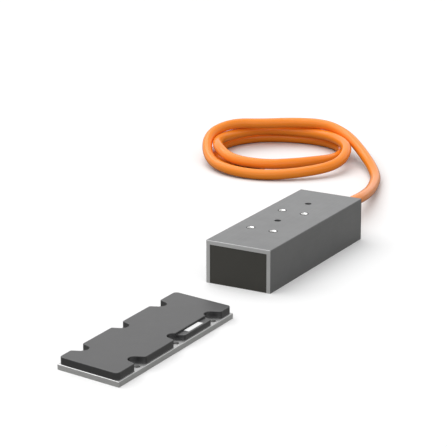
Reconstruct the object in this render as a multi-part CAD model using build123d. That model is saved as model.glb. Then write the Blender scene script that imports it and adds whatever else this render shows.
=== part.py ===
from build123d import *
import os
from math import radians, tan

# Linear motor in two halves that lie on a floor: a flat magnet track in front and
# an iron-core coil unit with its cable behind. All sizes are in millimetres.
# Everything is worked out from the coil unit's front lower left corner, with +X to
# the right, +Y to the rear and +Z up, and moved to the middle of the footprint at the end.

# Outside of the coil unit
coil_width = 51.0
coil_length = 144.0
coil_height = 31.5
side_wall = 3.0
roof = 3.1
housing_edge_radius = 0.5
housing_rim_edge = 0.3
resin_recess = 0.3

# Holes in the coil unit's top: four threaded ones and two plain ones between and behind
hole_offset = 3.0
thread_spacing = 18.0
hole_step = 24.0
last_hole_margin = 11.5
thread_radius = 2.1
thread_countersink = 0.5
collar_radius = 3.2
collar_gap = 0.05
locating_radius = 2.5

# Laminated comb core, with room at its two sides for the end turns and behind it for wires
end_room = 7.0
wiring_room = 12.0
core_front = 4.0
core_teeth = 9
tooth_width = 6.5
yoke_height = 9.0
sole_thickness = 1.8
wedge_step = 0.4
wedge_thickness = 1.2
wedge_groove = 0.5
wedge_fit = 0.1

# T-slots across the core and the bars in them
lip = 2.0
bar_height = 4.0
flange_width = 9.0
neck_width = 7.0
bar_fit = 0.1
bore_floor = 1.0

# Rivets through the laminations
rivet_radius = 1.5
rivet_fit = 0.05
rivet_head_radius = 2.5
rivet_head = 0.8
rivet_rise = 4.5

# Coils and their insulation
sleeve_thickness = 0.4
coil_fit = 0.1
coil_seat = 0.3
coil_gap = 0.23
end_turn = 5.4
coil_outer_corner = 5.0

# Wires, board and sensor behind and above the coils
lead_radius = 0.7
lead_bend = 1.2
lead_side = 4.6
lead_rise = 2.0
lead_step = 2.4
star_rise = 3.1
star_tap_radius = 0.6
sensor_radius = 1.2
sensor_length = 5.0
sensor_lead_radius = 0.5
board_gap = 3.2
board_thickness = 1.6
board_margin = 2.0
board_low = 5.0
board_roof_gap = 1.3
pin_radius = 0.9
pin_fit = 0.05
pin_stand = 1.0
tag_radius = 1.3

# Rear plate and cable gland
rear_plate = 8.0
rear_plate_edge = 0.3
gland_rise = 15.75
spigot_radius = 7.9
thread_clearance = 0.1
gland_flats = 18.0
gland_flange = 5.0
gland_collar_radius = 7.0
gland_collar = 4.0
gland_nut_gap = 0.4
gland_nut_hex = 6.0
gland_length = 16.0
gland_mouth_wall = 1.6
gland_dome_radius = 8.6
cable_clearance = 0.35
seal_wall = 1.3
seal_length = 6.0
seal_lap = 3.0
seal_fit = 0.05

# Magnet track
side_step = 1.72
unit_gap = 48.7
track_width = 50.0
track_length = 144.0
track_skew = 0.148
base_thickness = 3.8
base_edge = 0.3
cover_thickness = 5.0
cover_side_inset = 1.25
cover_end_inset = 0.45
cover_edge_radius = 0.4
cover_corner_radius = 3.0
screw_pitch = 48.0
screw_edge = 4.0
screw_radius = 2.25
notch_mouth = 13.8
notch_depth = 8.7
notch_radius = 5.05
notch_corner = 1.5
magnet_pitch = 12.0
magnet_length = 9.6
magnet_height = 4.0
magnet_gap = 0.1
notch_wall = 0.8

# Step in the cover's right edge, with a bare strip on it
ledge_width = 6.9
ledge_drop = 1.35
label_width = 3.7
label_length = 18.2
label_thickness = 0.25
label_edge = 2.5
label_offset = -0.6

# Motor cable and its far end
cable_radius = 4.25
core_wire_radius = 1.1
core_wire_spacing = 3.0
sleeve_radius = 4.75
sleeve_back = 6.0
sleeve_front = 3.0
bare_run = 4.0
bare_bend = 3.0
bare_spread = 1.9
ferrule_radius = 0.8
ferrule_length = 4.0

# How far a cutting shape reaches past the piece that it cuts
over = 1.0

# Places that follow from the sizes above
centre_x = coil_width / 2
roof_under = coil_height - roof
hole_x = centre_x - hole_offset
thread_xs = [hole_x - thread_spacing / 2, hole_x + thread_spacing / 2]
plate_front = coil_length - rear_plate
core_rear = plate_front - wiring_room
hole_ys = [core_rear - last_hole_margin - n * hole_step for n in (3, 2, 1, 0)]
thread_ys = hole_ys[0::2]
locating_ys = hole_ys[1::2]
tooth_pitch = (core_rear - core_front) / core_teeth
core_stack = coil_width - 2 * (side_wall + end_room)
core_left = centre_x - core_stack / 2
core_right = centre_x + core_stack / 2
yoke_under = roof_under - yoke_height
tooth_ys = [core_front + (n + 0.5) * tooth_pitch for n in range(core_teeth)]
wedge_ys = [core_front + n * tooth_pitch for n in range(1, core_teeth)]
slot_width = tooth_pitch - tooth_width
wedge_under = sole_thickness + wedge_step
wedge_top = wedge_under + wedge_thickness
flange_top = roof_under - lip
flange_under = flange_top - bar_height
bar_top = roof_under - bar_fit
bore_end = flange_under + bore_floor
rivet_z = yoke_under + rivet_rise
rivet_ys = [y - hole_step / 2 for y in hole_ys]
window_x = core_stack + 2 * (sleeve_thickness + coil_fit)
window_y = tooth_width + 2 * (sleeve_thickness + coil_fit)
coil_outer_x = window_x + 2 * end_turn
coil_outer_y = tooth_pitch - coil_gap
coil_under = wedge_top + coil_seat
coil_top = yoke_under - sleeve_thickness
lead_x = side_wall + lead_side
far_lead_x = coil_width - lead_x
lead_zs = [coil_top + lead_rise + n * lead_step for n in (2, 1, 0)]
star_z = coil_top + star_rise
sensor_z = coil_top + sensor_radius
board_front = core_rear + board_gap
board_rear = board_front + board_thickness
board_high = roof_under - board_roof_gap
pin_front = board_front - pin_stand
pin_rear = board_rear + pin_stand
gland_flange_end = coil_length + gland_flange
gland_collar_end = gland_flange_end + gland_collar
gland_end = coil_length + gland_length
bore_radius = cable_radius + cable_clearance
seal_outer = cable_radius + seal_wall
seal_start = gland_collar_end - seal_lap
seal_end = seal_start + seal_length
track_right = coil_width + side_step
track_left = track_right - track_width
skew_run = track_width * track_skew
track_front = -(unit_gap + skew_run + track_length)
track_y = track_front + (track_length + skew_run) / 2
track_top = base_thickness + cover_thickness
screw_ys = [track_y + n * screw_pitch for n in (-1, 0, 1)]
magnet_inset = cover_side_inset + notch_depth + notch_wall
magnet_count = round(track_length / magnet_pitch)
magnet_top = base_thickness + magnet_height

# Middle of the footprint without the cable, which becomes the origin
low_x = min(0, track_left)
high_x = max(coil_width, track_right)
origin = Vector((low_x + high_x) / 2, (track_front + gland_end) / 2, 0)

# Route of the cable as it lies in the photograph, from the gland to its bare end:
# it comes out to the rear, comes down to the floor, climbs over the turns at the back
# of the pile, goes down its left side and round twice more, and ends inside the ring
exit_point = (centre_x, gland_end, gland_rise)
free_route = [
    exit_point,
    (25.5, 182, gland_rise), (20.5, 212, 11.5), (9, 252, 6), (-8, 296, cable_radius),
    (-44, 336, 13.0), (-68, 359, 16.3),
]
last_route_point = (-134, 266, sleeve_radius)
cable_end = (-115, 264, sleeve_radius)

# Outline of the coiled cable seen from above, outside and inside
coiled_outer = [
    (-41, 308), (-52, 339), (-72, 366), (-106, 372), (-138, 364), (-162, 340),
    (-167.5, 308), (-161, 276), (-139.5, 250), (-106, 239.5), (-72.5, 250), (-48, 274.5),
]
coiled_inner = [
    (-69, 308), (-67, 331), (-81, 349), (-104, 352), (-125, 341), (-140, 327),
    (-150.5, 308), (-145, 286), (-127, 272), (-106, 264), (-86, 274), (-74, 290),
]

# The pile of turns is highest at its back left and slopes down to its front right
coiled_height = 26.0
pile_low = (-85, 270, 14.5)
pile_high = (-129, 333, coiled_height)

# Where the bare cores end, on the floor inside the ring
bare_end = (-101, 267, sleeve_radius)


def block(x, y, z):
    """A box between a low and a high limit on each axis."""
    limits = (x, y, z)
    middle = [(low + high) / 2 for low, high in limits]
    sizes = [high - low for low, high in limits]
    return Pos(*middle) * Box(*sizes)


def post(x, y, z, radius):
    """An upright cylinder between two heights."""
    return Pos(x, y, (z[0] + z[1]) / 2) * Cylinder(radius, z[1] - z[0])


def rod(x, y, z, radius):
    """A cylinder that lies along Y between two places."""
    return Pos(x, (y[0] + y[1]) / 2, z) * Rot(90, 0, 0) * Cylinder(radius, y[1] - y[0])


def cross_rod(x, y, z, radius):
    """A cylinder that lies along X between two places."""
    return Pos((x[0] + x[1]) / 2, y, z) * Rot(0, 90, 0) * Cylinder(radius, x[1] - x[0])


def tube(points, radius, bends):
    """A round wire along straight runs that are joined by tangent arcs."""
    path = FilletPolyline(*points, radius=bends)
    return sweep(Plane(origin=path @ 0, z_dir=path % 0) * Circle(radius), path=path)


def strip(y, z):
    """A rectangle in the side view, where the first axis is Y and the second Z."""
    return Pos((y[0] + y[1]) / 2, (z[0] + z[1]) / 2) * Rectangle(y[1] - y[0], z[1] - z[0])


def across_core(outline):
    """A side view outline carried through the whole width of the core."""
    return extrude(Plane.YZ.offset(core_left) * outline, amount=core_stack)


def either_side(middle, half):
    """Two limits at the same distance from a middle."""
    return (middle - half, middle + half)


def save(name, solids):
    """Write one sub-part, moved so that the footprint's middle is the origin."""
    moved = [Pos(*(-origin)) * solid for solid in solids]
    export_step(Compound(label=name, children=moved), f"parts/{name}.step")


# Magnet track


def slanted_plate(across, along, z):
    """A plate with the track's slanted ends, from distances off its right front corner."""
    corners = [
        (track_right - u, track_front + v + track_skew * u, z[0])
        for u, v in (
            (across[0], along[0]), (across[0], along[1]),
            (across[1], along[1]), (across[1], along[0]),
        )
    ]
    return extrude(make_face(Polyline(*corners, close=True)), amount=z[1] - z[0], dir=(0, 0, 1))


def make_base_plate():
    plate = slanted_plate((0, track_width), (0, track_length), (0, base_thickness))
    plate = chamfer(plate.faces().sort_by(Axis.Z)[-1].edges(), base_edge)
    for x in (track_right - screw_edge, track_left + screw_edge):
        for y in screw_ys:
            plate -= post(x, y, (-over, base_thickness + over), screw_radius)
    return plate


def magnet(number, gap):
    """One magnet between the base and the cover, or its pocket where a gap is given."""
    middle = track_length / 2 + (number - (magnet_count - 1) / 2) * magnet_pitch
    across = (magnet_inset - gap, track_width - magnet_inset + gap)
    along = either_side(middle, magnet_length / 2 + gap)
    return slanted_plate(across, along, (base_thickness, magnet_top + gap))


def notch(edge, inward, y):
    """The space over one screw: a round end that flares towards the cover's edge."""
    z = base_thickness - over
    middle = edge + inward * (notch_depth - notch_radius)
    mouth = [(edge, y - notch_mouth / 2), (edge, y + notch_mouth / 2)]
    round_end = Pos(middle, y) * Circle(notch_radius)
    flare = make_hull(round_end.edges() + [Line(*mouth)])
    outside = Pos(edge - inward * over / 2, y) * Rectangle(over, notch_mouth)
    return extrude(Pos(0, 0, z) * (flare + outside), amount=cover_thickness + 2 * over)


def make_magnet_cover():
    across = (cover_side_inset, track_width - cover_side_inset)
    along = (cover_end_inset, track_length - cover_end_inset)
    cover = slanted_plate(across, along, (base_thickness, track_top))
    cover = fillet(cover.edges().filter_by(Axis.Z), cover_corner_radius)
    edges = {track_right - cover_side_inset: -1, track_left + cover_side_inset: 1}
    for edge, inward in edges.items():
        for y in screw_ys:
            cover -= notch(edge, inward, y)
    mouth_corners = [
        line
        for line in cover.edges().filter_by(Axis.Z)
        for edge in edges
        for y in screw_ys
        if abs(line.center().X - edge) < over / 2
        and abs(abs(line.center().Y - y) - notch_mouth / 2) < over / 2
    ]
    cover = fillet(mouth_corners, notch_corner)
    ledge = (track_right - ledge_width, track_right)
    cover -= block(ledge, (screw_ys[1], screw_ys[2]), (track_top - ledge_drop, track_top + over))
    cover = fillet(cover.faces().sort_by(Axis.Z)[-1].edges(), cover_edge_radius)
    for number in range(magnet_count):
        cover -= magnet(number, magnet_gap)
    return cover


def make_label():
    ledge_top = track_top - ledge_drop
    middle = (screw_ys[1] + screw_ys[2]) / 2 + label_offset
    x = (track_right - label_edge - label_width, track_right - label_edge)
    return block(x, either_side(middle, label_length / 2), (ledge_top, ledge_top + label_thickness))


# Coil unit: housing, core and what sits in the T-slots


def make_housing():
    body = block((0, coil_width), (0, coil_length), (0, coil_height))
    body = fillet(body.edges().filter_by(Axis.Y).group_by(Axis.Z)[-1], housing_edge_radius)
    ends = body.faces().sort_by(Axis.Y)
    rims = [edge for end in (ends[0], ends[-1]) for edge in end.edges() if edge.center().Z > over]
    body = chamfer(rims, housing_rim_edge)
    inside = (side_wall, coil_width - side_wall)
    body -= block(inside, (-over, coil_length + over), (-over, roof_under))
    through = (roof_under - over, coil_height + over)
    for y in thread_ys:
        for x in thread_xs:
            body -= post(x, y, through, collar_radius + collar_gap)
    for y in locating_ys:
        body -= post(hole_x, y, through, locating_radius)
    return body


def make_core():
    """The comb that every lamination is stamped to: yoke, teeth, T-slots and wedge grooves."""
    outline = strip((core_front, core_rear), (yoke_under, roof_under))
    for y in tooth_ys:
        outline += strip(either_side(y, tooth_width / 2), (sole_thickness, yoke_under))
    for y in thread_ys + locating_ys:
        outline -= strip(either_side(y, neck_width / 2), (flange_top, roof_under))
        outline -= strip(either_side(y, flange_width / 2), (flange_under, flange_top))
    for y in wedge_ys:
        reach = slot_width / 2 + wedge_groove
        outline -= strip(either_side(y, reach), (wedge_under, wedge_top))
    for y in rivet_ys:
        outline -= Pos(y, rivet_z) * Circle(rivet_radius + rivet_fit)
    return across_core(outline)


def make_rivet(y):
    shank = cross_rod((core_left, core_right), y, rivet_z, rivet_radius)
    near = cross_rod((core_left - rivet_head, core_left), y, rivet_z, rivet_head_radius)
    far = cross_rod((core_right, core_right + rivet_head), y, rivet_z, rivet_head_radius)
    return shank + near + far


def make_bar(y):
    """A T-shaped bar that fills one slot across the core."""
    foot = (flange_under + bar_fit, flange_top - bar_fit)
    outline = strip(either_side(y, flange_width / 2 - bar_fit), foot)
    outline += strip(either_side(y, neck_width / 2 - bar_fit), (foot[1], bar_top))
    return across_core(outline)


def make_nut_bar(y):
    bar = make_bar(y)
    for x in thread_xs:
        bar += post(x, y, (bar_top - over, coil_height), collar_radius)
    for x in thread_xs:
        bar -= post(x, y, (bore_end, coil_height + over), thread_radius)
        sink = Cone(thread_radius, thread_radius + thread_countersink, thread_countersink)
        bar -= Pos(x, y, coil_height - thread_countersink / 2) * sink
    return bar


def make_locating_bar(y):
    return make_bar(y) - post(hole_x, y, (bore_end, bar_top + over), locating_radius)


# Coil unit: windings, insulation and wires


def make_coil(y):
    middle = Pos(centre_x, y, coil_under)
    outside = RectangleRounded(coil_outer_x, coil_outer_y, coil_outer_corner)
    window = RectangleRounded(window_x, window_y, sleeve_thickness + coil_fit)
    return extrude(middle * (outside - window), amount=coil_top - coil_under)


def make_insulator(y):
    """A sleeve round one tooth, with a flange between the coil and the yoke."""
    across = core_stack + 2 * sleeve_thickness
    around = tooth_width + 2 * sleeve_thickness
    tooth = Rectangle(core_stack, tooth_width)
    foot = wedge_top + wedge_fit
    sleeve = Pos(centre_x, y, foot) * (RectangleRounded(across, around, sleeve_thickness) - tooth)
    flange = Pos(centre_x, y, coil_top) * (Rectangle(across, coil_outer_y) - tooth)
    return extrude(sleeve, amount=yoke_under - foot) + extrude(flange, amount=sleeve_thickness)


def make_wedge(y):
    reach = slot_width / 2 + wedge_groove - wedge_fit
    return across_core(strip(either_side(y, reach), (wedge_under + wedge_fit, wedge_top - wedge_fit)))


def make_phase_lead(phase):
    """A wire from the last coil of its phase up, and back to its pin on the board."""
    y = tooth_ys[3 * phase + 2]
    z = lead_zs[phase]
    points = [(lead_x, y, coil_top), (lead_x, y, z), (lead_x, pin_front, z)]
    return tube(points, lead_radius, lead_bend)


def make_star_bridge():
    """The wire that joins the first coils of the three phases."""
    ys = [tooth_ys[0], tooth_ys[3], tooth_ys[6]]
    corners = [(ys[0], coil_top), (ys[0], star_z), (ys[2], star_z), (ys[2], coil_top)]
    wire = tube([(far_lead_x, y, z) for y, z in corners], lead_radius, lead_bend)
    return wire + post(far_lead_x, ys[1], (coil_top, star_z), star_tap_radius)


def make_thermal_sensor():
    """A bead on the end turn of the last coil but one, with a lead to the board."""
    start = tooth_ys[7] - sensor_length / 2
    bead = rod(far_lead_x, (start, start + sensor_length), sensor_z, sensor_radius)
    return bead + rod(far_lead_x, (start + sensor_length, pin_front), sensor_z, sensor_lead_radius)


pin_places = [(lead_x, z) for z in lead_zs] + [(far_lead_x, sensor_z)]
wire_places = [
    (centre_x + i * core_wire_spacing / 2, gland_rise + j * core_wire_spacing / 2)
    for i, j in ((-1, -1), (1, -1), (1, 1), (-1, 1))
]


def make_board():
    x = (side_wall + board_margin, coil_width - side_wall - board_margin)
    board = block(x, (board_front, board_rear), (board_low, board_high))
    for x, z in pin_places:
        board -= rod(x, (board_front - over, board_rear + over), z, pin_radius + pin_fit)
    return board


def make_terminals():
    pins = [rod(x, (pin_front, pin_rear), z, pin_radius) for x, z in pin_places]
    tags = [rod(x, (board_rear, pin_rear), z, tag_radius) for x, z in wire_places]
    return pins + tags


def make_cable_leads():
    return [rod(x, (pin_rear, plate_front), z, core_wire_radius) for x, z in wire_places]


def make_potting(inner_pieces):
    """The resin block: all of the channel that the core, coils, board and wires leave free."""
    resin = block((side_wall, coil_width - side_wall), (resin_recess, plate_front), (0, roof_under))
    length = (core_front, core_rear)
    across = either_side(centre_x, core_stack / 2 + sleeve_thickness)
    resin -= block(across, length, (sole_thickness, roof_under))
    resin -= block(either_side(centre_x, coil_outer_x / 2), length, (coil_under, coil_top))
    for piece in inner_pieces:
        resin -= piece
    return resin


# Rear plate and cable gland, all on the cable's axis


def on_axis(y, radius):
    return rod(centre_x, y, gland_rise, radius)


def hexagon(y):
    face = Plane(origin=(centre_x, y[0], gland_rise), x_dir=(1, 0, 0), z_dir=(0, 1, 0))
    outline = RegularPolygon(gland_flats / 2, 6, major_radius=False)
    return extrude(face * outline, amount=y[1] - y[0])


def make_rear_plate():
    x = (side_wall, coil_width - side_wall)
    plate = block(x, (plate_front, coil_length), (0, roof_under))
    plate = chamfer(plate.faces().sort_by(Axis.Y)[-1].edges(), rear_plate_edge)
    return plate - on_axis((plate_front - over, coil_length + over), spigot_radius + thread_clearance)


def make_gland_body():
    body = on_axis((plate_front, coil_length), spigot_radius)
    body += hexagon((coil_length, gland_flange_end))
    body += on_axis((gland_flange_end, gland_collar_end), gland_collar_radius)
    body -= on_axis((plate_front - over, seal_start + over), bore_radius)
    return body - on_axis((seal_start, gland_collar_end + over), seal_outer + thread_clearance)


def make_gland_seal():
    return on_axis((seal_start, seal_end), seal_outer) - on_axis(
        (seal_start - over, seal_end + over), cable_radius + seal_fit
    )


def make_gland_nut():
    start = gland_flange_end + gland_nut_gap
    hex_end = start + gland_nut_hex
    nut = hexagon((start, hex_end))
    dome = Cone(gland_dome_radius, bore_radius + gland_mouth_wall, gland_end - hex_end)
    nut += Pos(centre_x, (hex_end + gland_end) / 2, gland_rise) * Rot(-90, 0, 0) * dome
    room = gland_collar_end + thread_clearance
    nut -= on_axis((start - over, room), gland_collar_radius + thread_clearance)
    nut -= on_axis((start - over, seal_end + thread_clearance), seal_outer + thread_clearance)
    return nut - on_axis((start - over, gland_end + over), bore_radius)


# Motor cable


def bend_radii(points):
    """The largest arc that each corner's two runs allow."""
    places = [Vector(*point) for point in points]
    runs = [b - a for a, b in zip(places, places[1:])]
    return [
        0.45 * min(a.length, b.length) / tan(radians(a.get_angle(b)) / 2)
        for a, b in zip(runs, runs[1:])
    ]


def make_motor_cable():
    """The cable from the board's leads through the gland to where its coil begins."""
    radii = bend_radii(free_route)
    path = FilletPolyline(*free_route, radius=radii)
    print("cable bend radii", [round(radius) for radius in radii])
    print("cable length outside the gland", round(path.length, 1))
    free = tube(free_route, cable_radius, radii)
    print("volume against section times length", free.volume / (path.length * Circle(cable_radius).area))
    held = on_axis((plate_front, gland_end), cable_radius)
    return held + free


def make_cable_coil():
    """The outer shape of the loosely coiled turns, with the slope of the pile as its top."""
    outline = make_face(Spline(*coiled_outer, periodic=True))
    hollow = make_face(Spline(*coiled_inner, periodic=True))
    ring = extrude(outline - hollow, amount=coiled_height)
    slope = Vector(*pile_high) - Vector(*pile_low)
    level = Vector(0, 0, 1).cross(slope)
    top = Plane(origin=pile_low, x_dir=slope, z_dir=slope.cross(level))
    reach = outline.bounding_box().diagonal
    return ring - top * extrude(Rectangle(2 * reach, 2 * reach), amount=reach)


end_way = (Vector(*cable_end) - Vector(*last_route_point)).normalized()


def make_end_sleeve():
    """A shrunk sleeve over the end of the sheath and the roots of the cores."""
    start = Plane(origin=Vector(*cable_end) - end_way * sleeve_back, z_dir=end_way)
    length = sleeve_back + sleeve_front
    return extrude(start * Circle(sleeve_radius), amount=length) - extrude(
        start * Circle(cable_radius), amount=sleeve_back
    )


def core_path(number):
    """One bare core, beside and above its neighbours, that bends a little further in."""
    side = (-1, 1, 1, -1)[number]
    level = Vector(0, 0, (-1, -1, 1, 1)[number] * core_wire_spacing / 2)
    sleeve_end = Vector(*cable_end) + end_way * sleeve_front
    knee = sleeve_end + end_way * bare_run
    bent_way = (Vector(*bare_end) - knee).normalized()
    across = end_way.cross(Vector(0, 0, 1))
    bent_across = bent_way.cross(Vector(0, 0, 1))
    points = [
        sleeve_end + across * side * core_wire_spacing / 2 + level,
        knee + across * side * core_wire_spacing / 2 + level,
        Vector(*bare_end) + bent_across * side * bare_spread + level,
    ]
    return FilletPolyline(*points, radius=bare_bend)


def make_bare_core(path):
    return sweep(Plane(origin=path @ 0, z_dir=path % 0) * Circle(core_wire_radius), path=path)


def make_ferrule(path):
    end = Plane(origin=path @ 1, z_dir=path % 1)
    return extrude(end * Circle(ferrule_radius), amount=ferrule_length)


def main():
    os.makedirs("parts", exist_ok=True)
    magnets = [magnet(number, 0) for number in range(magnet_count)]
    save("base_plate", [make_base_plate()])
    save("magnets_north", magnets[0::2])
    save("magnets_south", magnets[1::2])
    save("magnet_cover", [make_magnet_cover()])
    save("label", [make_label()])

    rivets = [make_rivet(y) for y in rivet_ys]
    leads = [make_phase_lead(phase) for phase in range(3)]
    star = make_star_bridge()
    sensor = make_thermal_sensor()
    board = make_board()
    terminals = make_terminals()
    cable_leads = make_cable_leads()
    inner = rivets + leads + [star, sensor, board] + terminals + cable_leads
    save("housing", [make_housing()])
    save("potting", [make_potting(inner)])
    save("core", [make_core()])
    save("core_rivets", rivets)
    save("nut_bars", [make_nut_bar(y) for y in thread_ys])
    save("locating_bars", [make_locating_bar(y) for y in locating_ys])
    for phase, name in enumerate("uvw"):
        save(f"coils_phase_{name}", [make_coil(y) for y in tooth_ys[3 * phase:3 * phase + 3]])
    save("tooth_insulators", [make_insulator(y) for y in tooth_ys])
    save("slot_wedges", [make_wedge(y) for y in wedge_ys])
    save("phase_leads", leads)
    save("star_bridge", [star])
    save("thermal_sensor", [sensor])
    save("connection_board", [board])
    save("board_terminals", terminals)
    save("cable_leads", cable_leads)
    save("rear_end_plate", [make_rear_plate()])
    save("gland_body", [make_gland_body()])
    save("gland_seal", [make_gland_seal()])
    save("gland_nut", [make_gland_nut()])

    core_paths = [core_path(number) for number in range(4)]
    save("motor_cable", [make_motor_cable()])
    save("cable_coil", [make_cable_coil()])
    save("cable_end_sleeve", [make_end_sleeve()])
    save("cable_cores", [make_bare_core(path) for path in core_paths])
    save("core_ferrules", [make_ferrule(path) for path in core_paths])


main()
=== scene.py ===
import math

import bmesh
import bpy
from mathutils import Matrix, Vector


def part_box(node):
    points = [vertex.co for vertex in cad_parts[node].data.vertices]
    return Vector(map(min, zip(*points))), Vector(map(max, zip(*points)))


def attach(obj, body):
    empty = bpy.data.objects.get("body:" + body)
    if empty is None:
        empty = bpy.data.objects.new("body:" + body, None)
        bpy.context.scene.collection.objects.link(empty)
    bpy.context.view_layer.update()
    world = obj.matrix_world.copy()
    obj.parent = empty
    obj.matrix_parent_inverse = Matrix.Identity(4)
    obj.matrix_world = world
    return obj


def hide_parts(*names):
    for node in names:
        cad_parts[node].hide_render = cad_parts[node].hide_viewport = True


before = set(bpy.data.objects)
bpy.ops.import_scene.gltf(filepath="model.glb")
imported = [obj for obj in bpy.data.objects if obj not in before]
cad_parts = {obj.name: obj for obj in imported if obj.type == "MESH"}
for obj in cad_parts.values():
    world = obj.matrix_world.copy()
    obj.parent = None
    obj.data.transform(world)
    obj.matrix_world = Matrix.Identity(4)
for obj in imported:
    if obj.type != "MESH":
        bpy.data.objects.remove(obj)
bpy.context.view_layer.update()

# The studio: a white floor, one very broad soft lamp overhead, a weaker one from the front and a
# pale room round it. The camera stands in front and to the right, some seventeen degrees up.
scene = bpy.context.scene
scene.view_settings.view_transform = "Standard"

camera_place = (0.682785, -1.217791, 0.487014)
camera_turn = (math.radians(72.723), 0, math.radians(29.318))
focal_length = 172.58
sensor_width = 36
camera = bpy.data.objects.new("camera", bpy.data.cameras.new("camera"))
camera.data.lens = focal_length
camera.data.sensor_width = sensor_width
camera.location = camera_place
camera.rotation_euler = camera_turn
scene.collection.objects.link(camera)
scene.camera = camera


def add_sun(name, towards, strength, softness):
    """A soft lamp far away, in the direction that is given from the object."""
    lamp = bpy.data.lights.new(name, "SUN")
    lamp.energy = strength
    lamp.angle = math.radians(softness)
    holder = bpy.data.objects.new(name, lamp)
    holder.rotation_euler = Vector(towards).to_track_quat("Z", "Y").to_euler()
    scene.collection.objects.link(holder)


add_sun("key_lamp", towards=(-0.42, 0.02, 0.90), strength=2.0, softness=75)
add_sun("fill_lamp", towards=(0.50, -0.80, 0.32), strength=1.1, softness=110)


def place_nodes(tree, *kinds):
    """New nodes of the given kinds in a node tree."""
    return [tree.nodes.new("ShaderNode" + kind) for kind in kinds]


def white_background(tree, shader, output):
    """Rays from the camera, in gloss and through glass meet plain white, others the shader."""
    path, camera_or_gloss, or_glass, white, mix = place_nodes(
        tree, "LightPath", "Math", "Math", "Emission", "MixShader"
    )
    camera_or_gloss.operation = "MAXIMUM"
    or_glass.operation = "MAXIMUM"
    tree.links.new(path.outputs["Is Camera Ray"], camera_or_gloss.inputs[0])
    tree.links.new(path.outputs["Is Glossy Ray"], camera_or_gloss.inputs[1])
    tree.links.new(camera_or_gloss.outputs[0], or_glass.inputs[0])
    tree.links.new(path.outputs["Is Transmission Ray"], or_glass.inputs[1])
    tree.links.new(or_glass.outputs[0], mix.inputs["Fac"])
    tree.links.new(shader, mix.inputs[1])
    tree.links.new(white.outputs[0], mix.inputs[2])
    tree.links.new(mix.outputs[0], output)


room_strength = 0.42
room = bpy.data.worlds.new("room")
scene.world = room
room.use_nodes = True
room_light = room.node_tree.nodes["Background"]
room_light.inputs["Color"].default_value = (1, 1, 1, 1)
room_light.inputs["Strength"].default_value = room_strength
white_background(
    room.node_tree, room_light.outputs[0], room.node_tree.nodes["World Output"].inputs["Surface"]
)

floor_reach = 12.0
floor_roughness = 0.6
floor_specular = 0.1
floor_mesh = bpy.data.meshes.new("floor")
shape = bmesh.new()
bmesh.ops.create_grid(shape, x_segments=1, y_segments=1, size=floor_reach)
shape.to_mesh(floor_mesh)
shape.free()
floor = bpy.data.objects.new("floor", floor_mesh)
scene.collection.objects.link(floor)
floor_finish = bpy.data.materials.new("floor_white")
floor_finish.use_nodes = True
floor_tree = floor_finish.node_tree
floor_shader = floor_tree.nodes["Principled BSDF"]
floor_shader.inputs["Roughness"].default_value = floor_roughness
floor_shader.inputs["Specular IOR Level"].default_value = floor_specular
floor_mesh.materials.append(floor_finish)

# The camera sees the floor white, and the object gets back the light of a grey one, as it does
# in a photograph that was cut out and set on white.
floor_grey = (0.30, 0.30, 0.29)
floor_white = (0.94, 0.94, 0.94)

# The sockets in which a Mix node of colours holds its first colour, its second and its result
mix_first, mix_second, mix_result = 6, 7, 2

floor_path, floor_look = place_nodes(floor_tree, "LightPath", "Mix")
floor_look.data_type = "RGBA"
floor_look.inputs[mix_first].default_value = (*floor_grey, 1)
floor_look.inputs[mix_second].default_value = (*floor_white, 1)
floor_tree.links.new(floor_path.outputs["Is Camera Ray"], floor_look.inputs["Factor"])
floor_tree.links.new(floor_look.outputs[mix_result], floor_shader.inputs["Base Color"])

# Motor cable: one length of round cable with an orange sheath, 1.12 m from the gland to its bare
# end. It leaves to the rear, comes down to the floor and lies in two and a half loose turns.
# Places on the coil unit and the cable count from the front left foot of the unit's housing.
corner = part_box("housing")[0]
millimetre = 0.001
cable_radius = 0.00425
cable_exit = (0.0255, 0.160, 0.01575)
cable_route = [
    cable_exit, (0.0255, 0.182, 0.01575), (0.0205, 0.212, 0.0115), (0.009, 0.252, 0.006),
    (-0.008, 0.296, 0.00425), (-0.044, 0.336, 0.013), (-0.068, 0.359, 0.0163),
]
cable_last_points = [
    (-0.148, 0.275, 0.00425), (-0.125, 0.265, 0.0045), (-0.115, 0.264, 0.00475),
]

# How the turns lie: from the back of the pile, and then every thirty degrees anticlockwise, how
# far the cable lies from the middle of the coil and how high its own middle is, in millimetres
coil_middle = Vector((-0.10595, 0.308, 0))
coil_start = math.radians(75)
coil_step = math.radians(30)
on_floor = 4.25
coil_turns = [
    [
        (59.5, 20.5), (50, 20.25), (45, 20.5), (55, 22.25), (61.75, 18.5), (62.25, 7.25),
        (66, 5.5), (65, on_floor), (63.5, 6), (67, 8.5), (60.5, 13.5), (55, 13.5),
    ],
    [
        (56, 12), (55.5, 11.5), (56, 12.75), (52.5, 13), (53, 14.25), (52.75, 15),
        (57, 11.75), (51, 9.75), (42.5, 8.5), (41.5, 7), (50, 4.5), (60, on_floor),
    ],
    [(62, on_floor), (59.5, on_floor), (62, on_floor), (60, on_floor), (56, on_floor)],
]


def coil_points(middle, start, step, turns):
    """Points round a middle, one for each distance and height."""
    spots = []
    for distance, height in (lay for turn in turns for lay in turn):
        angle = start + len(spots) * step
        out = distance * millimetre * Vector((math.cos(angle), math.sin(angle), 0))
        spots.append(middle + out + Vector((0, 0, height * millimetre)))
    return spots


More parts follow.
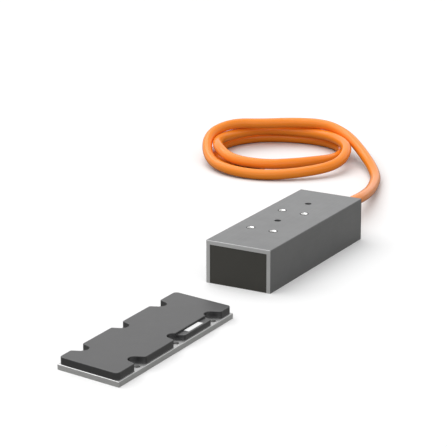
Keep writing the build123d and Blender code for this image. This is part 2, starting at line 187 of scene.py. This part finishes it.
def new_group(name, inputs, outputs):
    """An empty shader node group with named sockets, and its two end nodes."""
    group = bpy.data.node_groups.new(name, "ShaderNodeTree")
    for socket, kind, value in inputs:
        made = group.interface.new_socket(socket, in_out="INPUT", socket_type="NodeSocket" + kind)
        made.default_value = value
    for socket, kind in outputs:
        group.interface.new_socket(socket, in_out="OUTPUT", socket_type="NodeSocket" + kind)
    start, end = group.nodes.new("NodeGroupInput"), group.nodes.new("NodeGroupOutput")
    return group, start, end


# Handling marks, which nearly every surface shares: broad cloudy patches that darken the colour a
# little and dull the gloss, over a fine tooth. Both sizes are waves to a metre, so more is finer.
handled, handled_in, handled_out = new_group(
    "handled_surface",
    [
        ("Colour", "Color", (0.5, 0.5, 0.5, 1)), ("Shade", "Float", 0.1),
        ("Roughness", "Float", 0.4), ("Gloss Spread", "Float", 0.1),
        ("Cloud Size", "Float", 60.0), ("Tooth Size", "Float", 2500.0),
    ],
    [("Colour", "Color"), ("Roughness", "Float"), ("Height", "Float")],
)
place, clouds, tooth, patches, darker, tint, spread, gloss = place_nodes(
    handled, "TexCoord", "TexNoise", "TexNoise", "MapRange", "Math", "Mix", "Math", "Math"
)
clouds.inputs["Detail"].default_value = 5
clouds.inputs["Roughness"].default_value = 0.6
tooth.inputs["Detail"].default_value = 2
patches.inputs["From Min"].default_value = 0.3
patches.inputs["From Max"].default_value = 0.7
darker.operation = "MULTIPLY"
tint.data_type = "RGBA"
tint.blend_type = "MULTIPLY"
tint.inputs[mix_second].default_value = (0, 0, 0, 1)
spread.operation = "MULTIPLY"
gloss.operation = "ADD"
handled.links.new(place.outputs["Object"], clouds.inputs["Vector"])
handled.links.new(place.outputs["Object"], tooth.inputs["Vector"])
handled.links.new(handled_in.outputs["Cloud Size"], clouds.inputs["Scale"])
handled.links.new(handled_in.outputs["Tooth Size"], tooth.inputs["Scale"])
handled.links.new(clouds.outputs["Fac"], patches.inputs["Value"])
handled.links.new(patches.outputs["Result"], darker.inputs[0])
handled.links.new(handled_in.outputs["Shade"], darker.inputs[1])
handled.links.new(darker.outputs[0], tint.inputs["Factor"])
handled.links.new(handled_in.outputs["Colour"], tint.inputs[mix_first])
handled.links.new(patches.outputs["Result"], spread.inputs[0])
handled.links.new(handled_in.outputs["Gloss Spread"], spread.inputs[1])
handled.links.new(spread.outputs[0], gloss.inputs[0])
handled.links.new(handled_in.outputs["Roughness"], gloss.inputs[1])
handled.links.new(tint.outputs[mix_result], handled_out.inputs["Colour"])
handled.links.new(gloss.outputs[0], handled_out.inputs["Roughness"])
handled.links.new(tooth.outputs["Fac"], handled_out.inputs["Height"])

coat_roughness = 0.1


def new_finish(name, metallic=0.0, specular=0.5, coat=0.0):
    """A new material and its shader, with the values that are the same all over set on it."""
    finish = bpy.data.materials.new(name)
    finish.use_nodes = True
    shader = finish.node_tree.nodes["Principled BSDF"]
    shader.inputs["Metallic"].default_value = metallic
    shader.inputs["Specular IOR Level"].default_value = specular
    shader.inputs["Coat Weight"].default_value = coat
    shader.inputs["Coat Roughness"].default_value = coat_roughness
    return finish, shader


def add_group(tree, group, **values):
    """A group placed in a material, with its own values, named with _ for each space."""
    node = tree.nodes.new("ShaderNodeGroup")
    node.node_tree = group
    for name, value in values.items():
        socket = node.inputs[name.replace("_", " ")]
        socket.default_value = (*value, 1) if isinstance(value, tuple) else value
    return node


def wire_up(tree, shader, colour, roughness, height, depth):
    """A pattern's colour, roughness and height carried to a material's shader."""
    bump = tree.nodes.new("ShaderNodeBump")
    bump.inputs["Distance"].default_value = depth
    tree.links.new(colour, shader.inputs["Base Color"])
    tree.links.new(roughness, shader.inputs["Roughness"])
    tree.links.new(height, bump.inputs["Height"])
    tree.links.new(bump.outputs["Normal"], shader.inputs["Normal"])


def handled_finish(name, colour, roughness, depth=0.00001, shade=0.12, gloss_spread=0.08,
                   cloud_size=60.0, tooth_size=2500.0, **shader_values):
    """A material whose only pattern is the shared handling marks."""
    finish, shader = new_finish(name, **shader_values)
    tree = finish.node_tree
    marks = add_group(
        tree, handled, Colour=colour, Shade=shade, Roughness=roughness,
        Gloss_Spread=gloss_spread, Cloud_Size=cloud_size, Tooth_Size=tooth_size,
    )
    wire_up(
        tree, shader, marks.outputs["Colour"], marks.outputs["Roughness"],
        marks.outputs["Height"], depth,
    )
    return finish


sheath_orange = handled_finish(
    "sheath_orange", (1.0, 0.285, 0.024), roughness=0.12, depth=0.000004, shade=0.04,
    gloss_spread=0.04, cloud_size=25.0, tooth_size=1800.0, specular=0.25,
)

curve = bpy.data.curves.new("cable", "CURVE")
curve.dimensions = "3D"
curve.bevel_depth = cable_radius
curve.bevel_resolution = 9
curve.use_fill_caps = True
line = curve.splines.new("NURBS")
turns = coil_points(coil_middle, coil_start, coil_step, coil_turns)
route = cable_route + turns + cable_last_points
line.points.add(len(route) - 1)
for point, spot in zip(line.points, route):
    point.co = (*(corner + Vector(spot)), 1)
line.order_u = 3
line.use_endpoint_u = True
line.resolution_u = 14
curve.materials.append(sheath_orange)
cable = bpy.data.objects.new("cable", curve)
scene.collection.objects.link(cable)
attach(cable, "coil_unit")
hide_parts("motor_cable", "cable_coil")

# The same sheath inside the gland, from the end plate to the gland's mouth. It is a plain straight
# length, held by the gland's seal.
held_start = (0.0255, 0.1365, 0.01575)
held_length = cable_exit[1] - held_start[1]
round_steps = 48
smooth_angle = math.radians(35)


def turned_piece(name, foot, direction, profile, finish):
    """A piece of revolution, from pairs of distance along the axis and radius."""
    shape = bmesh.new()
    verts = [shape.verts.new((radius, 0, along)) for along, radius in profile]
    edges = [shape.edges.new(pair) for pair in zip(verts, verts[1:])]
    bmesh.ops.spin(
        shape, geom=verts + edges, cent=(0, 0, 0), axis=(0, 0, 1), angle=2 * math.pi,
        steps=round_steps,
    )
    bmesh.ops.remove_doubles(shape, verts=shape.verts, dist=1e-7)
    bmesh.ops.recalc_face_normals(shape, faces=shape.faces)
    turn = Vector(direction).to_track_quat("Z", "Y").to_matrix().to_4x4()
    shape.transform(Matrix.Translation(foot) @ turn)
    return new_piece(name, shape, finish)


def new_piece(name, shape, finish):
    """A finished bmesh as an object of the coil unit, smooth where its faces turn gently."""
    mesh = bpy.data.meshes.new(name)
    shape.to_mesh(mesh)
    shape.free()
    mesh.materials.append(finish)
    mesh.shade_smooth()
    mesh.set_sharp_from_angle(angle=smooth_angle)
    piece = bpy.data.objects.new(name, mesh)
    scene.collection.objects.link(piece)
    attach(piece, "coil_unit")
    return piece


held = turned_piece(
    "cable_in_gland", corner + Vector(held_start), (0, 1, 0),
    [(0, 0), (0, cable_radius), (held_length, cable_radius), (held_length, 0)], sheath_orange,
)

# Coil unit's housing: an aluminium channel, brushed, anodised grey and then cut to length, so
# that its two ends are bare metal. It lies over everything else and carries the screw holes.
housing_grey = (0.130, 0.131, 0.133)
cut_metal = (0.55, 0.55, 0.55)
cut_shine = 0.5
cut_depth = 0.00015
scratch_depth = 0.000008

# Brushed grain, which all the metal shares: long scratches one way, as a height and a change of
# gloss. Stretch is how fine the pattern is along each axis, and it is low along the grain.
grain, grain_in, grain_out = new_group(
    "brushed_grain",
    [("Stretch", "Vector", (600.0, 12.0, 600.0))],
    [("Height", "Float"), ("Gloss", "Float")],
)
grain_place, grain_scale, scratches, grain_gloss = place_nodes(
    grain, "TexCoord", "VectorMath", "TexNoise", "MapRange"
)
grain_scale.operation = "MULTIPLY"
scratches.inputs["Scale"].default_value = 1.0
scratches.inputs["Detail"].default_value = 4
scratches.inputs["Roughness"].default_value = 0.7
grain_gloss.inputs["To Min"].default_value = -0.06
grain_gloss.inputs["To Max"].default_value = 0.06
grain.links.new(grain_place.outputs["Object"], grain_scale.inputs[0])
grain.links.new(grain_in.outputs["Stretch"], grain_scale.inputs[1])
grain.links.new(grain_scale.outputs[0], scratches.inputs["Vector"])
grain.links.new(scratches.outputs["Fac"], grain_out.inputs["Height"])
grain.links.new(scratches.outputs["Fac"], grain_gloss.inputs["Value"])
grain.links.new(grain_gloss.outputs["Result"], grain_out.inputs["Gloss"])

along_y = (700.0, 14.0, 700.0)
along_x = (14.0, 700.0, 700.0)


def brushed_finish(name, colour, stretch, roughness, **shader_values):
    """A brushed metal: handling marks over grain that runs one way."""
    finish, shader = new_finish(name, **shader_values)
    tree = finish.node_tree
    marks = add_group(
        tree, handled, Colour=colour, Shade=0.12, Roughness=roughness, Gloss_Spread=0.06,
        Cloud_Size=45.0, Tooth_Size=3000.0,
    )
    lines = add_group(tree, grain)
    lines.inputs["Stretch"].default_value = stretch
    height, gloss = place_nodes(tree, "Math", "Math")
    height.operation = "ADD"
    gloss.operation = "ADD"
    tree.links.new(marks.outputs["Height"], height.inputs[0])
    tree.links.new(lines.outputs["Height"], height.inputs[1])
    tree.links.new(marks.outputs["Roughness"], gloss.inputs[0])
    tree.links.new(lines.outputs["Gloss"], gloss.inputs[1])
    wire_up(
        tree, shader, marks.outputs["Colour"], gloss.outputs[0], height.outputs[0], scratch_depth
    )
    return finish


def bare_ends(finish, front, rear):
    """The same material with bare metal within the cut's depth of its two ends along Y."""
    tree = finish.node_tree
    shader = tree.nodes["Principled BSDF"]
    coated = shader.inputs["Base Color"].links[0].from_socket
    place, parts, offset, distance, at_end, colour, metal = place_nodes(
        tree, "TexCoord", "SeparateXYZ", "Math", "Math", "Math", "Mix", "Math"
    )
    offset.operation = "SUBTRACT"
    offset.inputs[1].default_value = (front + rear) / 2
    distance.operation = "ABSOLUTE"
    at_end.operation = "GREATER_THAN"
    at_end.inputs[1].default_value = (rear - front) / 2 - cut_depth
    colour.data_type = "RGBA"
    colour.inputs[mix_second].default_value = (*cut_metal, 1)
    metal.operation = "MULTIPLY"
    metal.inputs[1].default_value = cut_shine
    tree.links.new(place.outputs["Object"], parts.inputs[0])
    tree.links.new(parts.outputs["Y"], offset.inputs[0])
    tree.links.new(offset.outputs[0], distance.inputs[0])
    tree.links.new(distance.outputs[0], at_end.inputs[0])
    tree.links.new(at_end.outputs[0], colour.inputs["Factor"])
    tree.links.new(coated, colour.inputs[mix_first])
    tree.links.new(colour.outputs[mix_result], shader.inputs["Base Color"])
    tree.links.new(at_end.outputs[0], metal.inputs[0])
    tree.links.new(metal.outputs[0], shader.inputs["Metallic"])
    return finish


def dress(finish, *nodes):
    """CAD nodes shown with a finish of their own."""
    for node in nodes:
        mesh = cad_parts[node].data
        mesh.materials.clear()
        mesh.materials.append(finish)


anodised = brushed_finish("anodised_grey", housing_grey, along_y, roughness=0.34, specular=1.0)
front_end, rear_end = (end[1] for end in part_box("housing"))
dress(bare_ends(anodised, front_end, rear_end), "housing")

# Resin that fills the channel: black casting epoxy, poured in and cured with the unit standing
# on its rear plate. It holds the core, the coils and the wires.
dress(handled_finish("cast_resin", (0.048, 0.046, 0.040), roughness=0.35), "potting")

# Bars in the core's T-slots: steel, machined, the two with threaded collars blackened. That near
# black, with almost no gloss, is partly painted shade: it darkens the collars round the bright
# countersinks as the shade in the screw holes would. The collars come up through the housing's
# top, and the other two bars have one plain bore each.
bar_steel = brushed_finish("bar_steel", (0.42, 0.42, 0.42), along_x, roughness=0.36, metallic=1.0)
# Blackened steel, and painted shade round the screw holes
collar_black_and_shade = handled_finish("black_steel_painted_shade", (0.02, 0.02, 0.02), roughness=0.7, specular=0.05)
dress(collar_black_and_shade, "nut_bars")
dress(bar_steel, "locating_bars")

# Threads in the four collars: bored, countersunk and cut with a tap after the bars were
# blackened, so that both the countersink and the thread are bright steel.
bright_steel = brushed_finish(
    "bright_steel", (0.86, 0.86, 0.85), along_x, roughness=0.2, metallic=1.0
)
thread_radius = 0.0021
crest_radius = 0.0019
thread_pitch = 0.0008
thread_turns = 9
thread_steps = 32
thread_top = 0.0310
thread_places = [(x, y) for x in (0.0135, 0.0315) for y in (0.0405, 0.0885)]

# The ridge of the thread: shares of the pitch, counted down from its top, each with a radius
ridge = [(0, thread_radius), (0.3, crest_radius), (0.45, crest_radius), (0.75, thread_radius)]

# The bright countersink lies a hair's breadth inside the bar's own, over the blackened steel
sink_depth = 0.0005
sink_skin = 0.000015
sink_foot = thread_radius - sink_skin


def collar_thread(name, top):
    """An inside thread, one ridge that winds down the wall of a bore, under a countersink."""
    shape = bmesh.new()
    verts = [shape.verts.new((radius, 0, -share * thread_pitch)) for share, radius in ridge]
    edges = [shape.edges.new(pair) for pair in zip(verts, verts[1:])]
    bmesh.ops.spin(
        shape, geom=verts + edges, cent=(0, 0, 0), axis=(0, 0, 1),
        steps=thread_steps * thread_turns, angle=2 * math.pi * thread_turns,
        dvec=(0, 0, -thread_pitch / thread_steps),
    )
    bmesh.ops.recalc_face_normals(shape, faces=shape.faces)
    bmesh.ops.reverse_faces(shape, faces=shape.faces)
    sink = bmesh.ops.create_cone(
        shape, cap_ends=False, segments=round_steps, radius1=sink_foot,
        radius2=sink_foot + sink_depth, depth=sink_depth,
        matrix=Matrix.Translation((0, 0, sink_depth / 2)),
    )
    sink_faces = {face for vert in sink["verts"] for face in vert.link_faces}
    shape.normal_update()
    bmesh.ops.reverse_faces(shape, faces=[face for face in sink_faces if face.normal.z < 0])
    shape.transform(Matrix.Translation(top))
    return new_piece(name, shape, bright_steel)


for number, (x, y) in enumerate(thread_places, 1):
    thread = collar_thread(f"collar_thread_{number}", corner + Vector((x, y, thread_top)))

# Laminated core and its rivets: sheets of electrical steel, stamped to the shape of the comb,
# stacked from side to side and held by four rivets.
sheet_thickness = 0.0005
sheet_steel = (0.42, 0.42, 0.43)
sheet_gap = (0.10, 0.09, 0.08)


def striped_finish(name, axis, spacing, light, dark, roughness, depth, groove_share=0.25,
                   **shader_values):
    """Thin layers seen on edge: lines across one axis, with a groove at each in the dark colour:
    for stacked sheets a real dark joint, for round wire painted shade in the crease.
    """
    finish, shader = new_finish(name, **shader_values)
    tree = finish.node_tree
    place, parts, count, to_line, groove, colour, bump = place_nodes(
        tree, "TexCoord", "SeparateXYZ", "Math", "Math", "MapRange", "Mix", "Bump"
    )
    half_a_layer = 0.5
    count.operation = "DIVIDE"
    count.inputs[1].default_value = spacing
    to_line.operation = "PINGPONG"
    to_line.inputs[1].default_value = half_a_layer
    groove.inputs["From Max"].default_value = half_a_layer * groove_share
    colour.data_type = "RGBA"
    colour.inputs[mix_first].default_value = (*dark, 1)
    colour.inputs[mix_second].default_value = (*light, 1)
    bump.inputs["Distance"].default_value = depth
    shader.inputs["Roughness"].default_value = roughness
    tree.links.new(place.outputs["Object"], parts.inputs[0])
    tree.links.new(parts.outputs[axis], count.inputs[0])
    tree.links.new(count.outputs[0], to_line.inputs[0])
    tree.links.new(to_line.outputs[0], groove.inputs["Value"])
    tree.links.new(groove.outputs["Result"], colour.inputs["Factor"])
    tree.links.new(groove.outputs["Result"], bump.inputs["Height"])
    tree.links.new(colour.outputs[mix_result], shader.inputs["Base Color"])
    tree.links.new(bump.outputs["Normal"], shader.inputs["Normal"])
    return finish


core_sheets = striped_finish(
    "core_sheets", "X", sheet_thickness, sheet_steel, sheet_gap, roughness=0.42, depth=0.00006,
    metallic=1.0,
)
dress(core_sheets, "core")
dress(bar_steel, "core_rivets")

# Coils: enamelled copper wire, wound in level layers round each tooth. The three phases share
# one wire and one winding. The darker copper in the groove between turns is painted shade, a
# shaded copy of the wire's own colour.
wire_size = 0.0008
wire_copper = (0.62, 0.22, 0.07)
# Painted shade: the copper as it looks in the crease between two turns
wire_crease_painted_shade = (0.16, 0.045, 0.015)
winding = striped_finish(
    "copper_winding", "Z", wire_size, wire_copper, wire_crease_painted_shade, roughness=0.3, depth=0.0003,
    groove_share=0.9, metallic=0.6, coat=0.6,
)
dress(winding, "coils_phase_u", "coils_phase_v", "coils_phase_w")

# Insulation: paper sleeves round the teeth and glass laminate wedges that close the slots, both
# unpainted.
dress(handled_finish("aramid_paper", (0.70, 0.58, 0.36), roughness=0.7), "tooth_insulators")
dress(handled_finish("glass_laminate", (0.46, 0.42, 0.22), roughness=0.45), "slot_wedges")

# Wires inside the unit: white woven sleeving over the coil ends and the sensor's bead and lead,
# and the cable's own four black cores at the rear.
sleeving = handled_finish(
    "woven_sleeving", (0.72, 0.70, 0.62), roughness=0.8, depth=0.0001, tooth_size=4000.0
)
dress(sleeving, "phase_leads", "star_bridge", "thermal_sensor")
core_black = handled_finish("core_black", (0.02, 0.02, 0.02), roughness=0.4)
dress(core_black, "cable_leads")

# Connection board behind the core: green laminate with tinned pins and tags soldered in it.
# It joins the wires of the coils to those of the cable.
board_green = handled_finish("board_green", (0.02, 0.16, 0.06), roughness=0.3, coat=0.4)
dress(board_green, "connection_board")
tinned = handled_finish("tinned", (0.78, 0.78, 0.76), roughness=0.25, metallic=1.0)
dress(tinned, "board_terminals")

# Rear end plate: the same anodised aluminium as the housing, milled and set into the channel's
# rear end.
dress(brushed_finish("plate_grey", housing_grey, along_x, roughness=0.36), "rear_end_plate")

# Cable gland: nickel plated brass body and nut, turned and milled, over a black rubber seal that
# grips the sheath.
nickel = handled_finish("gland_nickel", (0.66, 0.63, 0.58), roughness=0.2, shade=0.1, metallic=1.0)
dress(nickel, "gland_body", "gland_nut")
dress(handled_finish("gland_rubber", (0.02, 0.02, 0.02), roughness=0.6), "gland_seal")

# Bare end of the cable: a black shrunk sleeve over the end of the sheath, and four black cores
# with tinned ferrules, lying on the floor inside the coil.
dress(handled_finish("shrink_sleeve", (0.018, 0.018, 0.018), roughness=0.45), "cable_end_sleeve")
dress(core_black, "cable_cores")
dress(tinned, "core_ferrules")

# Magnet track: a flat ground steel base with six screw holes. The bar magnets are glued to it in
# two sets of opposite polarity, nickel plated, hidden under the cover.
track_steel = brushed_finish(
    "track_steel", (0.58, 0.58, 0.58), along_x, roughness=0.42, metallic=1.0
)
dress(track_steel, "base_plate")
magnet_nickel = handled_finish("magnet_nickel", (0.66, 0.65, 0.62), roughness=0.25, metallic=1.0)
dress(magnet_nickel, "magnets_north", "magnets_south")

# Cover of the magnet track: black moulded resin with a satin face, notched for the screws. A
# plain white film label lies in the step of its right edge.
cover_black = handled_finish(
    "cover_black", (0.012, 0.012, 0.013), roughness=0.3, shade=0.08, gloss_spread=0.04,
    specular=0.8,
)
dress(cover_black, "magnet_cover")
dress(handled_finish("label_white", (0.82, 0.82, 0.82), roughness=0.5, shade=0.03), "label")
